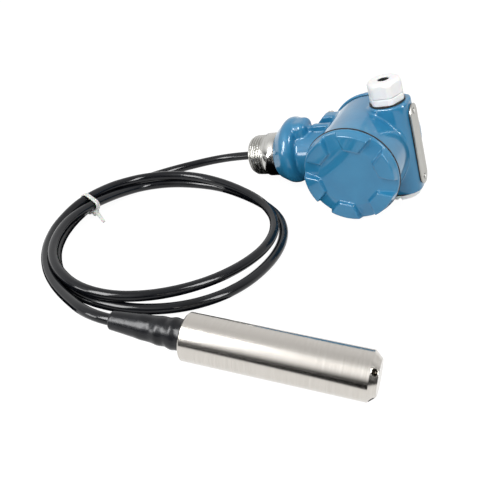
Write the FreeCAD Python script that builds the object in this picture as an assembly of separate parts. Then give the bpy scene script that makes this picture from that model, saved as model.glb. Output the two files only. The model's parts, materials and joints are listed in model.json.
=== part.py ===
import FreeCAD, Part
import math
import os

# Submersible level transmitter: a cast field housing with two screw covers,
# a coiled cable and a stainless pressure probe. It lies on a bench, Z = 0.
# The housing is drawn in its own frame (X along the conduits, Y along the
# barrel, Z away from the neck) and is then laid on three of its rims.

# Housing casting
barrel_r = 35.4
front_seat_y = 41.8
rear_seat_y = -18.0
chamber_r = 27.5
partition_y = -6.0
partition_t = 4.0
horn_z = 22.0
horn_inner_z = 8.0
horn_outer_z = 38.6
horn_half_y = 14.2
horn_round = 11.0
horn_reach = 36.6
horn_bore_end = 9.0
neck_y = 2.5
neck_r = 19.5
neck_end_z = -74.3
neck_passage_r = 7.0
neck_passage_top_z = -14.0
collar_r = 27.0
collar_nose_r = 20.0
collar_nose_t = 10.5
collar_t = 19.7
collar_round = 6.0
collar_shift = 2.9
collar_boss_x = 28.5
collar_boss_width = 20.0
collar_boss_end_z = -45.2
collar_boss_round = 5.5
rib_width = 5.0
rib_front_y = 3.5
rib_top_x = 23.4
rib_step_z = -41.0
rib_step_rise = 1.2
earth_lug_x = 26.6
earth_lug_y = -9.5
earth_lug_width = 9.4
earth_lug_z = -35.0
earth_lug_slope = 10.0

# Screw covers
cover_r = 36.8
cover_gap = 0.7
cover_thread_r = 31.0
cover_thread_length = 8.0
cover_wall = 3.4
cover_plate_t = 3.0
cover_rim_height = 3.0
cover_disc_height = 5.6
cover_disc_r = 24.0
cover_edge = 0.8
lug_count = 6
lug_turn = 46.0
rear_lug_turn = 27.5
lug_height = 8.6
lug_inner_r = 23.0
lug_outer_half = 13.6
lug_inner_half = 5.2
lug_draft = 2.2
lug_outer_draft = 1.8
lug_round = 0.9
thread_gap = 0.3
seal_section_r = 0.9

# Nameplate
plate_length = 66.0
plate_width = 15.4
plate_t = 0.9
pad_inset = 0.9
pad_rise = 1.0
pad_root = 5.5
rivet_spacing = 55.2
rivet_r = 1.7
rivet_head_h = 0.9
rivet_shank_r = 0.8
rivet_shank_length = 4.0

# Cable gland and blanking plug
entry_thread_r = 10.0
entry_thread_length = 12.0
gasket_t = 1.0
gasket_r = 13.4
gland_hex = 24.0
gland_hex_h = 5.2
gland_thread_r = 10.0
gland_thread_h = 6.5
gland_bore_r = 6.9
nut_height = 11.6
nut_r = 13.0
nut_round = 4.0
nut_hole_r = 4.4
nut_top_t = 2.9
nut_lip_r = 7.6
gland_seat_r = 5.4
gland_seal_r = 6.5
gland_seal_hole_r = 3.6
gland_seal_length = 10.0
gland_collar_r = 4.1
gland_collar_h = 2.4
plug_flange_r = 13.4
plug_flange_t = 3.6
plug_shank_length = 9.0
plug_slot_depth = 1.4
plug_slot_width = 2.4

# Stainless process connector
process_thread_r = 16.62
process_thread_length = 14.0
process_chamfer = 3.0
process_chamfer_depth = 1.5
shoulder_r = 17.9
shoulder_length = 11.0
connector_seal_t = 0.8
connector_seal_r = 18.6
shank_r = 14.0
shank_length = 20.0
connector_bore_r = 8.0
grommet_length = 10.0
clamp_ring_length = 4.0
clamp_ring_hole_r = 4.6

# Cable
cable_r = 3.5
core_r = 0.9
core_offset = 1.7
cable_tail_top_z = -22.0

# Parts inside the housing
terminal_width = 30.0
terminal_height = 14.0
terminal_depth = 12.0
terminal_bottom_z = -8.0
terminal_pitch = 9.0
terminal_screw_r = 2.6
terminal_screw_h = 1.8
terminal_pocket_depth = 3.0
terminal_screw_length = 6.0
terminal_ear = 5.0
terminal_ear_t = 4.0
screw_shank_r = 1.3
wall_screw_bite = 3.0
post_screw_bite = 5.4
feed_r = 4.5
feed_z = -15.0
feed_flange_r = 6.0
feed_flange_t = 1.5
post_count = 3
post_r = 3.2
post_circle_r = 19.0
post_height = 6.0
board_r = 24.5
board_t = 1.6
screw_head_r = 2.6
screw_head_h = 1.8
earth_screw_head_r = 3.6
earth_screw_head_h = 2.6
earth_screw_r = 2.0
earth_screw_length = 9.0
earth_slot_width = 1.4
earth_slot_depth = 1.3
earth_washer_r = 4.0
earth_washer_t = 1.0

# Probe
probe_r = 14.0
probe_length = 108.8
nose_chamfer = 4.2
nose_face_r = 10.2
nose_wall = 3.0
inlet_count = 4
inlet_r = 2.0
inlet_turn = 40.0
inlet_depth = 9.0
probe_bore_r = 11.0
sensor_chamber_r = 8.8
sensor_chamber_length = 8.0
cell_length = 9.0
cell_seal_r = 0.9
retainer_length = 5.0
retainer_hole_r = 6.5
probe_board_width = 15.0
probe_board_length = 44.0
probe_board_t = 1.6
probe_board_slot = 4.0
tail_plug_length = 14.0
tail_stem_r = 6.4
tail_stem_length = 16.0
tail_bore_r = 5.4
tail_grommet_length = 9.0
tail_edge = 0.8
sleeve_length = 47.0
sleeve_start_r = 5.6
sleeve_end_r = 9.2
sleeve_bevel = 0.8
sleeve_bevel_depth = 0.5
cable_end_x = 5.0

# Where things lie on the bench
housing_x = 64.62
housing_y = 98.69
barrel_heading = 245.0
barrel_dip = 7.35
barrel_roll = -75.8
probe_tail_x = -64.53
probe_tail_y = -106.96
probe_heading = -18.8
coil_x = -87.0
coil_y = 25.0
coil_r = 83.0
coil_width = 18.0
coil_bottom = 1.7
coil_height = 13.0
coil_round = 5.0
tie_heading = 148.0
tie_width = 3.6
tie_t = 1.2
tie_gap = 0.3
tie_head = 6.0
tie_head_deep = 4.2
tie_head_high = 4.8
tie_tail_length = 13.0
housing_lead = 18.0
housing_run = [(-60, 153, 9.5), (-81, 149, 7.5), (-102, 138, 7), (-119, 121, 7), (-132, 102, 7)]
probe_lead = 15.0
probe_run = [(-135, -77, 13), (-143, -65, 10.5), (-151, -50, 8), (-158, -34, 7), (-164, -16, 6.5), (-168, 5, 6.5)]
bend_share = 0.45

X = FreeCAD.Vector(1, 0, 0)
Y = FreeCAD.Vector(0, 1, 0)
Z = FreeCAD.Vector(0, 0, 1)
ORIGIN = FreeCAD.Vector(0, 0, 0)
NEAR = 0.01
os.makedirs("parts", exist_ok=True)


def vec(x, y, z):
    return FreeCAD.Vector(x, y, z)


def rod(radius, start, direction, length):
    return Part.makeCylinder(radius, length, start, direction)


def tube(outer, inner, start, direction, length):
    return rod(outer, start, direction, length).cut(rod(inner, start, direction, length))


def turned(profile, axis_point, axis):
    """Solid of revolution of a closed profile of points."""
    face = Part.Face(Part.makePolygon(profile + [profile[0]]))
    return face.revolve(axis_point, axis, 360)


def hexagon(across_flats, start, direction, height):
    """Hexagonal prism along a main axis."""
    corner_r = across_flats / math.sqrt(3)
    points = [vec(corner_r * math.cos(math.radians(60 * k)), corner_r * math.sin(math.radians(60 * k)), 0)
              for k in range(7)]
    prism = Part.Face(Part.makePolygon(points)).extrude(vec(0, 0, height))
    prism.Placement = FreeCAD.Placement(start, FreeCAD.Rotation(Z, direction))
    return prism


def stadium(length, width, height, z):
    """Flat-topped pad with round ends, long side along X."""
    half = (length - width) / 2
    body = Part.makeBox(2 * half, width, height, vec(-half, -width / 2, z))
    for side in (-1, 1):
        body = body.fuse(rod(width / 2, vec(side * half, 0, z), Z, height))
    return body.removeSplitter()


def screw(head_r, head_h, shank, length, seat, outward):
    """Pan-head screw with its head standing outward from the seat."""
    head = rod(head_r, seat, outward, head_h)
    return head.fuse(rod(shank, seat, outward * -1, length)).removeSplitter()


def runs_along(edge, direction):
    """True for a straight edge parallel to a direction."""
    return isinstance(edge.Curve, Part.Line) and abs(edge.Curve.Direction.dot(direction)) > 1 - NEAR


def along(points, radius):
    """Round cord through the points: straight runs joined by tangent arcs."""
    edges = []
    start = points[0]
    for before, here, after in zip(points, points[1:], points[2:]):
        back = before - here
        ahead = after - here
        turn = math.pi - back.getAngle(ahead)
        reach = bend_share * min(back.Length, ahead.Length)
        bend_r = reach / math.tan(turn / 2)
        back.normalize()
        ahead.normalize()
        first = here + back * reach
        last = here + ahead * reach
        inward = back + ahead
        inward.normalize()
        middle = here + inward * (bend_r / math.cos(turn / 2) - bend_r)
        edges.append(Part.makeLine(start, first))
        edges.append(Part.Arc(first, middle, last).toShape())
        start = last
    edges.append(Part.makeLine(start, points[-1]))
    path = Part.Wire(edges)
    section = Part.Wire(Part.makeCircle(radius, points[0], points[1] - points[0]))
    return path.makePipeShell([section], True, False)


# Housing casting: barrel, conduit horns, nameplate pad, neck and collar
casting = rod(barrel_r, vec(0, rear_seat_y, 0), Y, front_seat_y - rear_seat_y)
horns = Part.makeBox(2 * horn_reach, 2 * horn_half_y, horn_outer_z - horn_inner_z,
                     vec(-horn_reach, -horn_half_y, horn_inner_z))
long_edges = [e for e in horns.Edges if runs_along(e, X)]
horns = horns.makeFillet(horn_round, long_edges)
casting = casting.fuse(horns)
plate_seat_z = horn_outer_z + pad_rise
pad = stadium(plate_length - 2 * pad_inset, plate_width - 2 * pad_inset, pad_rise + pad_root,
              plate_seat_z - pad_rise - pad_root)
casting = casting.fuse(pad)
neck_end = vec(0, neck_y, neck_end_z)
casting = casting.fuse(rod(neck_r, neck_end, Z, -neck_end_z))
collar_wide = neck_end + X * collar_shift + Z * collar_nose_t
collar_nose = Part.makeLoft([Part.Wire(Part.makeCircle(collar_nose_r, neck_end)),
                             Part.Wire(Part.makeCircle(collar_r, collar_wide))], True)
collar = collar_nose.fuse(rod(collar_r, collar_wide, Z, collar_t - collar_nose_t))
rims = [e for e in collar.Edges if isinstance(e.Curve, Part.Circle) and e.CenterOfMass.z > neck_end_z + NEAR]
casting = casting.fuse(collar.makeFillet(collar_round, rims))
boss_start_z = collar_wide.z
boss = Part.makeBox(collar_boss_x, collar_boss_width, collar_boss_end_z - boss_start_z,
                    vec(0, neck_y - collar_boss_width / 2, boss_start_z))
boss_edges = [e for e in boss.Edges if e.CenterOfMass.x > collar_boss_x - NEAR or
              (e.CenterOfMass.z > collar_boss_end_z - NEAR and runs_along(e, X))]
casting = casting.fuse(boss.makeFillet(collar_boss_round, boss_edges))
rib_back_y = neck_y + rib_front_y - rib_width
rib_start_z = neck_end_z + collar_t / 2
casting = casting.fuse(Part.makeBox(rib_top_x, rib_width, rib_step_z - rib_start_z, vec(0, rib_back_y, rib_start_z)))
casting = casting.fuse(Part.makeBox(rib_top_x + rib_step_rise, rib_width + rib_step_rise, -rib_step_z,
                                    vec(0, rib_back_y, rib_step_z)))
lug_points = [vec(0, 0, 0), vec(earth_lug_x, 0, 0), vec(earth_lug_x, 0, earth_lug_z),
              vec(earth_lug_x - earth_lug_slope, 0, earth_lug_z - earth_lug_slope),
              vec(0, 0, earth_lug_z - earth_lug_slope)]
earth_lug = Part.Face(Part.makePolygon(lug_points + [lug_points[0]])).extrude(vec(0, earth_lug_width, 0))
earth_lug.translate(vec(0, earth_lug_y - earth_lug_width / 2, 0))
casting = casting.fuse(earth_lug).removeSplitter()

# Chambers, neck passage, conduit threads and screw holes in the casting
partition_front = partition_y + partition_t / 2
partition_back = partition_y - partition_t / 2
thread_bore_r = cover_thread_r + thread_gap
thread_bore_depth = cover_thread_length + cover_gap
seal_seat_r = thread_bore_r + 2 * seal_section_r + thread_gap
seal_seat_depth = 2 * seal_section_r + thread_gap
for seat_y, inward, wall_y in ((front_seat_y, -1, partition_front), (rear_seat_y, 1, partition_back)):
    mouth = vec(0, seat_y, 0)
    casting = casting.cut(rod(chamber_r, mouth, Y * inward, abs(seat_y - wall_y)))
    casting = casting.cut(rod(thread_bore_r, mouth, Y * inward, thread_bore_depth))
    casting = casting.cut(rod(seal_seat_r, mouth, Y * inward, seal_seat_depth))
board_front = partition_back - post_height
post_feet = []
for k in range(post_count):
    angle = math.radians(90 + 360 / post_count * k)
    foot = vec(post_circle_r * math.cos(angle), board_front, post_circle_r * math.sin(angle))
    post_feet.append(foot)
    casting = casting.fuse(rod(post_r, foot, Y, post_height))
    casting = casting.cut(rod(screw_shank_r, foot, Y, post_height))
shank_top_z = neck_end_z + shank_length
casting = casting.cut(rod(neck_passage_r, neck_end, Z, neck_passage_top_z - neck_end_z))
casting = casting.cut(rod(shank_r, neck_end, Z, shank_length))
entry_bore_r = entry_thread_r + thread_gap
for side in (-1, 1):
    mouth = vec(side * horn_reach, 0, horn_z)
    casting = casting.cut(rod(entry_bore_r, mouth, X * -side, horn_reach - horn_bore_end))
casting = casting.cut(rod(feed_r, vec(0, partition_back, feed_z), Y, partition_t))
earth_x = earth_lug_x - earth_washer_r - thread_gap
earth_z = -math.sqrt((barrel_r + earth_washer_r + thread_gap) ** 2 - earth_x ** 2)
earth_seat = vec(earth_x, earth_lug_y - earth_lug_width / 2, earth_z)
casting = casting.cut(rod(earth_screw_r, earth_seat, Y, earth_screw_length - earth_washer_t))
for side in (-1, 1):
    top = vec(side * rivet_spacing / 2, 0, plate_seat_z)
    casting = casting.cut(rod(rivet_shank_r, top, Z * -1, rivet_shank_length))


def screw_cover():
    """Cover with its flange at Y = 0, facing +Y: male thread behind, six drafted grip lugs in front."""
    cup_r = cover_thread_r - cover_wall
    cup_top = cover_disc_height - cover_plate_t
    profile = [vec(0, cup_top, 0), vec(cup_r, cup_top, 0), vec(cup_r, -cover_thread_length, 0),
               vec(cover_thread_r, -cover_thread_length, 0), vec(cover_thread_r, 0, 0), vec(cover_r, 0, 0),
               vec(cover_r, cover_rim_height - cover_edge, 0), vec(cover_r - cover_edge, cover_rim_height, 0),
               vec(cover_disc_r, cover_disc_height, 0), vec(0, cover_disc_height, 0)]
    cup = turned(profile, ORIGIN, Y)
    base_y = cover_rim_height - cover_edge
    limit = Part.makeCone(cover_r - cover_edge / 2, cover_r - lug_outer_draft, lug_height - base_y,
                          vec(0, base_y, 0), Y)
    for k in range(lug_count):
        outline = []
        for y, spread in ((base_y, lug_draft), (lug_height, 0)):
            inner = lug_inner_r - spread
            corners = [vec(inner, y, -lug_inner_half - spread), vec(cover_r + spread, y, -lug_outer_half - spread),
                       vec(cover_r + spread, y, lug_outer_half + spread), vec(inner, y, lug_inner_half + spread)]
            outline.append(Part.makePolygon(corners + [corners[0]]))
        lug = Part.makeLoft(outline, True, True).common(limit)
        top_edges = [e for e in lug.Edges if all(abs(v.Y - lug_height) < NEAR for v in e.Vertexes)]
        lug = lug.makeFillet(lug_round, top_edges)
        lug.rotate(ORIGIN, Y, 90 - lug_turn - 360 / lug_count * k)
        cup = cup.fuse(lug)
    return cup.removeSplitter()


def cover_seal():
    """Round-section ring in the seat behind Y = 0."""
    ring_r = cover_thread_r + thread_gap + seal_section_r
    return Part.makeTorus(ring_r, seal_section_r, vec(0, -seal_section_r, 0), Y)


# Screw covers and their seals
flip = FreeCAD.Rotation(Z, 180)
front_cover = screw_cover()
front_cover.translate(vec(0, front_seat_y + cover_gap, 0))
rear_cover = screw_cover()
rear_cover.rotate(ORIGIN, Y, rear_lug_turn)
rear_cover.Placement = FreeCAD.Placement(vec(0, rear_seat_y - cover_gap, 0), flip).multiply(rear_cover.Placement)
front_cover_seal = cover_seal()
front_cover_seal.translate(vec(0, front_seat_y, 0))
rear_cover_seal = cover_seal()
rear_cover_seal.Placement = FreeCAD.Placement(vec(0, rear_seat_y, 0), flip)

# Nameplate with two rivets
nameplate = stadium(plate_length, plate_width, plate_t, plate_seat_z)
rivets = []
for side in (-1, 1):
    centre = vec(side * rivet_spacing / 2, 0, plate_seat_z)
    nameplate = nameplate.cut(rod(rivet_shank_r, centre, Z, plate_t))
    rivets.append(screw(rivet_r, rivet_head_h, rivet_shank_r, plate_t + rivet_shank_length, centre + Z * plate_t, Z))
nameplate_rivets = Part.makeCompound(rivets)

# Earth terminal on the back of its lug
earth_washer = tube(earth_washer_r, earth_screw_r, earth_seat, Y * -1, earth_washer_t)
head_seat = earth_seat - Y * earth_washer_t
earth_screw = screw(earth_screw_head_r, earth_screw_head_h, earth_screw_r, earth_screw_length, head_seat, Y * -1)
earth_slot = Part.makeBox(2 * earth_screw_head_r, earth_slot_depth, earth_slot_width)
earth_slot.translate(head_seat - vec(earth_screw_head_r, earth_screw_head_h, earth_slot_width / 2))
earth_screw = earth_screw.cut(earth_slot)

# Cable gland on the upper conduit mouth
gland_mouth = vec(horn_reach, 0, horn_z)
gland_gasket = tube(gasket_r, entry_bore_r, gland_mouth, X, gasket_t)
hex_start = gland_mouth + X * gasket_t
hex_top = hex_start + X * gland_hex_h
gland_body = hexagon(gland_hex, hex_start, X, gland_hex_h).common(rod(nut_r, hex_start, X, gland_hex_h))
gland_tail = hex_start - X * (entry_thread_length + gasket_t)
gland_top = hex_top + X * gland_thread_h
gland_body = gland_body.fuse(rod(entry_thread_r, gland_tail, X, hex_start.x - gland_tail.x))
gland_body = gland_body.fuse(rod(gland_thread_r, hex_top, X, gland_thread_h)).removeSplitter()
nut_start = hex_top + X * thread_gap
seal_start = nut_start + X * (nut_height - nut_top_t - thread_gap - gland_seal_length)
seal_shelf = seal_start - X * thread_gap
gland_body = gland_body.cut(rod(gland_seat_r, gland_tail, X, gland_top.x - gland_tail.x))
gland_body = gland_body.cut(rod(gland_bore_r, seal_shelf, X, gland_top.x - seal_shelf.x))
seal_end = seal_start + X * gland_seal_length
gland_seal = tube(gland_seal_r, gland_seal_hole_r, seal_start, X, gland_seal_length)
gland_seal = gland_seal.fuse(tube(gland_collar_r, gland_seal_hole_r, seal_end, X, gland_collar_h)).removeSplitter()
nut_limit = rod(nut_r, nut_start, X, nut_height)
nut_rim = [e for e in nut_limit.Edges if isinstance(e.Curve, Part.Circle) and e.CenterOfMass.x > nut_start.x + NEAR]
gland_nut = hexagon(gland_hex, nut_start, X, nut_height).common(nut_limit.makeFillet(nut_round, nut_rim))
nut_thread_depth = gland_thread_h + thread_gap
gland_nut = gland_nut.cut(rod(gland_thread_r + thread_gap, nut_start, X, nut_thread_depth))
gland_nut = gland_nut.cut(rod(nut_lip_r, nut_start, X, nut_height - nut_top_t))
gland_nut = gland_nut.cut(rod(nut_hole_r, nut_start, X, nut_height))

# Blanking plug in the lower conduit mouth
plug_mouth = vec(-horn_reach, 0, horn_z)
blanking_plug_gasket = tube(gasket_r, entry_bore_r, plug_mouth, X * -1, gasket_t)
plug_seat = plug_mouth - X * gasket_t
blanking_plug = rod(plug_flange_r, plug_seat, X * -1, plug_flange_t)
blanking_plug = blanking_plug.fuse(rod(entry_thread_r, plug_seat, X, plug_shank_length)).removeSplitter()
plug_slot = Part.makeBox(plug_slot_depth, 2 * plug_flange_r, plug_slot_width)
plug_slot.translate(plug_seat - vec(plug_flange_t, plug_flange_r, plug_slot_width / 2))
blanking_plug = blanking_plug.cut(plug_slot)

# Stainless process connector, its seal and the cable seal inside it
seal_z = neck_end_z - connector_seal_t
shoulder_z = seal_z - shoulder_length
thread_end_z = shoulder_z - process_thread_length
connector_seal = tube(connector_seal_r, shank_r, vec(0, neck_y, seal_z), Z, connector_seal_t)
connector_profile = [vec(connector_bore_r, neck_y, thread_end_z),
                     vec(process_thread_r - process_chamfer_depth, neck_y, thread_end_z),
                     vec(process_thread_r, neck_y, thread_end_z + process_chamfer),
                     vec(process_thread_r, neck_y, shoulder_z), vec(shoulder_r, neck_y, shoulder_z),
                     vec(shoulder_r, neck_y, seal_z), vec(shank_r, neck_y, seal_z),
                     vec(shank_r, neck_y, shank_top_z), vec(connector_bore_r, neck_y, shank_top_z)]
connector_end = vec(0, neck_y, thread_end_z)
process_connector = turned(connector_profile, connector_end, Z)
cable_clamp_ring = tube(connector_bore_r, clamp_ring_hole_r, connector_end, Z, clamp_ring_length)
cable_grommet = tube(connector_bore_r, cable_r, connector_end + Z * clamp_ring_length, Z, grommet_length)
cable_tail = rod(cable_r, connector_end, Z, cable_tail_top_z - thread_end_z)
cores = [rod(core_r, vec(side * core_offset, neck_y, cable_tail_top_z), Z, terminal_bottom_z - cable_tail_top_z)
         for side in (-1, 1)]
signal_wires = Part.makeCompound(cores)

# Terminal block on the front of the partition, with its screws
block_front = partition_front + terminal_depth
terminal_block = Part.makeBox(terminal_width, terminal_depth, terminal_height,
                              vec(-terminal_width / 2, partition_front, terminal_bottom_z))
ears_width = terminal_width + 2 * terminal_ear
terminal_block = terminal_block.fuse(Part.makeBox(ears_width, terminal_ear_t, terminal_height,
                                                  vec(-ears_width / 2, partition_front, terminal_bottom_z)))
terminal_block = terminal_block.removeSplitter()
terminal_mid_z = terminal_bottom_z + terminal_height / 2
pocket_y = block_front - terminal_pocket_depth
terminals = []
for k in (-1, 0, 1):
    seat = vec(k * terminal_pitch, pocket_y, terminal_mid_z)
    terminal_block = terminal_block.cut(rod(terminal_screw_r + thread_gap, seat, Y, terminal_pocket_depth))
    terminal_block = terminal_block.cut(rod(screw_shank_r, seat, Y * -1, terminal_screw_length))
    terminals.append(screw(terminal_screw_r, terminal_screw_h, screw_shank_r, terminal_screw_length, seat, Y))
terminal_screws = Part.makeCompound(terminals)
fixings = []
for side in (-1, 1):
    seat = vec(side * (terminal_width + terminal_ear) / 2, partition_front + terminal_ear_t, terminal_mid_z)
    depth = terminal_ear_t + wall_screw_bite
    terminal_block = terminal_block.cut(rod(screw_shank_r, seat, Y * -1, depth))
    casting = casting.cut(rod(screw_shank_r, seat, Y * -1, depth))
    fixings.append(screw(screw_head_r - thread_gap, screw_head_h, screw_shank_r, depth, seat, Y))
terminal_block_screws = Part.makeCompound(fixings)

# Feed-through bush in the partition
feedthrough_bush = rod(feed_r, vec(0, partition_back, feed_z), Y, partition_t)
feedthrough_bush = feedthrough_bush.fuse(rod(feed_flange_r, vec(0, partition_front, feed_z), Y, feed_flange_t))
feedthrough_bush = feedthrough_bush.removeSplitter()

# Round circuit board on posts behind the partition
circuit_board = rod(board_r, vec(0, board_front, 0), Y * -1, board_t)
screws = []
for foot in post_feet:
    seat = foot - Y * board_t
    circuit_board = circuit_board.cut(rod(screw_shank_r, seat, Y, board_t))
    screws.append(screw(screw_head_r, screw_head_h, screw_shank_r, board_t + post_screw_bite, seat, Y * -1))
board_screws = Part.makeCompound(screws)

# The housing parts are laid on the bench together, lowest rim at Z = 0
housing_parts = {
    "housing_body": casting, "front_cover": front_cover, "rear_cover": rear_cover,
    "front_cover_seal": front_cover_seal, "rear_cover_seal": rear_cover_seal,
    "nameplate": nameplate, "nameplate_rivets": nameplate_rivets,
    "earth_screw": earth_screw, "earth_washer": earth_washer,
    "gland_body": gland_body, "gland_nut": gland_nut, "gland_seal": gland_seal, "gland_gasket": gland_gasket,
    "blanking_plug": blanking_plug, "blanking_plug_gasket": blanking_plug_gasket,
    "process_connector": process_connector, "connector_seal": connector_seal,
    "cable_clamp_ring": cable_clamp_ring, "cable_grommet": cable_grommet,
    "cable_tail": cable_tail, "signal_wires": signal_wires,
    "terminal_block": terminal_block, "terminal_screws": terminal_screws,
    "terminal_block_screws": terminal_block_screws, "feedthrough_bush": feedthrough_bush,
    "circuit_board": circuit_board, "board_screws": board_screws,
}
housing_turn = FreeCAD.Rotation(Z, barrel_heading - 90)
housing_turn = housing_turn.multiply(FreeCAD.Rotation(X, -barrel_dip))
housing_turn = housing_turn.multiply(FreeCAD.Rotation(Y, barrel_roll))


def laid(shape, place):
    """Copy of a shape moved into the bench frame."""
    copy = shape.copy()
    copy.Placement = place.multiply(copy.Placement)
    return copy


on_axis = FreeCAD.Placement(vec(housing_x, housing_y, 0), housing_turn)
lowest = min(laid(s, on_axis).optimalBoundingBox(True, False).ZMin for s in housing_parts.values())
housing_place = FreeCAD.Placement(vec(housing_x, housing_y, -lowest), housing_turn)
nodes = {name: laid(shape, housing_place) for name, shape in housing_parts.items()}

# Probe: turned case with inlet holes in its nose, drawn along X from the tail
nose_start = probe_length - nose_chamfer
bore_end = probe_length - nose_wall - sensor_chamber_length
case_profile = [vec(0, probe_bore_r, 0), vec(0, probe_r - tail_edge, 0), vec(tail_edge, probe_r, 0),
                vec(nose_start, probe_r, 0), vec(probe_length, nose_face_r, 0), vec(probe_length, 0, 0),
                vec(probe_length - nose_wall, 0, 0), vec(probe_length - nose_wall, sensor_chamber_r, 0),
                vec(bore_end, sensor_chamber_r, 0), vec(bore_end, probe_bore_r, 0)]
probe_case = turned(case_profile, ORIGIN, X)
for k in range(inlet_count):
    inlet = rod(inlet_r, vec(probe_length, (probe_r + nose_face_r) / 2 + nose_chamfer / 2, 0), vec(-1, -1, 0),
                inlet_depth)
    inlet.rotate(ORIGIN, X, inlet_turn + 360 / inlet_count * k)
    probe_case = probe_case.cut(inlet)

# Pressure cell against the inner shoulder, its seal, retainer and board
cell_back = bore_end - cell_length
cell_seal_x = cell_back + cell_length / 2
cell_groove = tube(probe_bore_r, probe_bore_r - 2 * cell_seal_r, vec(cell_seal_x - cell_seal_r, 0, 0), X, 2 * cell_seal_r)
pressure_cell = rod(probe_bore_r, vec(cell_back, 0, 0), X, cell_length).cut(cell_groove)
cell_seal = Part.makeTorus(probe_bore_r - cell_seal_r, cell_seal_r, vec(cell_seal_x, 0, 0), X)
cell_retainer = tube(probe_bore_r, retainer_hole_r, vec(cell_back - retainer_length, 0, 0), X, retainer_length)
tail_plug = rod(probe_bore_r, ORIGIN, X, tail_plug_length)
tail_plug = tail_plug.fuse(rod(tail_stem_r, vec(-tail_stem_length, 0, 0), X, tail_stem_length)).removeSplitter()
tail_plug = tail_plug.cut(rod(tail_bore_r, vec(-tail_stem_length, 0, 0), X, tail_stem_length + tail_plug_length))
board_x = tail_plug_length - probe_board_slot
probe_board = Part.makeBox(probe_board_length, probe_board_width, probe_board_t,
                           vec(board_x, -probe_board_width / 2, -probe_board_t / 2))
tail_plug = tail_plug.cut(probe_board)
tail_grommet = tube(tail_bore_r, cable_r, vec(-tail_stem_length, 0, 0), X, tail_grommet_length)
cable_probe_end = rod(cable_r, vec(-sleeve_length, 0, 0), X, sleeve_length + cable_end_x)

# Shrink sleeve over the stem and the cable
sleeve_profile = [vec(-sleeve_length, cable_r, 0), vec(-sleeve_length, sleeve_start_r - sleeve_bevel_depth, 0),
                  vec(sleeve_bevel - sleeve_length, sleeve_start_r, 0), vec(0, sleeve_end_r, 0),
                  vec(0, tail_stem_r, 0), vec(-tail_stem_length, tail_stem_r, 0), vec(-tail_stem_length, cable_r, 0)]
shrink_sleeve = turned(sleeve_profile, ORIGIN, X)
probe_place = FreeCAD.Placement(vec(probe_tail_x, probe_tail_y, probe_r), FreeCAD.Rotation(Z, probe_heading))
probe_parts = {
    "probe_case": probe_case, "pressure_cell": pressure_cell, "cell_seal": cell_seal,
    "cell_retainer": cell_retainer, "probe_board": probe_board, "tail_plug": tail_plug,
    "tail_grommet": tail_grommet, "cable_probe_end": cable_probe_end, "shrink_sleeve": shrink_sleeve,
}
nodes.update({name: laid(shape, probe_place) for name, shape in probe_parts.items()})

# Coiled part of the cable: the outer form of its loose turns
outer_reach = coil_r + coil_width / 2
inner_reach = coil_r - coil_width / 2
cable_coil = tube(outer_reach, inner_reach, vec(coil_x, coil_y, coil_bottom), Z, coil_height)
ring_edges = [e for e in cable_coil.Edges if isinstance(e.Curve, Part.Circle)]
nodes["cable_coil"] = cable_coil.makeFillet(coil_round, ring_edges)

# Cable from the connector down to the coil
exit_point = housing_place.multVec(connector_end)
exit_way = housing_turn.multVec(vec(0, 0, -1))
housing_route = [exit_point, exit_point + exit_way * housing_lead] + [vec(*point) for point in housing_run]
nodes["cable_housing_run"] = along(housing_route, cable_r)

# Cable from the sleeve down to the coil
sleeve_point = probe_place.multVec(vec(-sleeve_length, 0, 0))
sleeve_way = probe_place.Rotation.multVec(X * -1)
probe_route = [sleeve_point, sleeve_point + sleeve_way * probe_lead] + [vec(*point) for point in probe_run]
nodes["cable_probe_run"] = along(probe_route, cable_r)

# Cable tie round the coil: strap, head on the inner side and a free tail
band_inner = inner_reach - tie_gap
band_outer = outer_reach + tie_gap
band_low = coil_bottom - tie_gap
band_high = coil_bottom + coil_height + tie_gap
strap = Part.makeBox(band_outer - band_inner + 2 * tie_t, tie_width, band_high - band_low + 2 * tie_t,
                     vec(band_inner - tie_t, -tie_width / 2, band_low - tie_t))
strap = strap.makeFillet(coil_round, [e for e in strap.Edges if runs_along(e, Y)])
hollow = Part.makeBox(band_outer - band_inner, tie_width, band_high - band_low, vec(band_inner, -tie_width / 2, band_low))
hollow = hollow.makeFillet(coil_round - tie_t, [e for e in hollow.Edges if runs_along(e, Y)])
cable_tie = strap.cut(hollow)
head_low = band_high - tie_head
cable_tie = cable_tie.fuse(Part.makeBox(tie_head_deep, tie_head, tie_head_high,
                                        vec(band_inner - tie_head_deep, -tie_head / 2, head_low)))
cable_tie = cable_tie.fuse(Part.makeBox(tie_tail_length, tie_width, tie_t,
                                        vec(band_inner - tie_tail_length, -tie_width / 2, head_low + tie_t)))
cable_tie = cable_tie.removeSplitter()
tie_place = FreeCAD.Placement(vec(coil_x, coil_y, 0), FreeCAD.Rotation(Z, tie_heading))
nodes["cable_tie"] = laid(cable_tie, tie_place)

for name, shape in nodes.items():
    shape.exportStep("parts/" + name + ".step")
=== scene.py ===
import json
import math
import bmesh
import bpy
import numpy as np
from mathutils import Matrix, Quaternion, Vector


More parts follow.
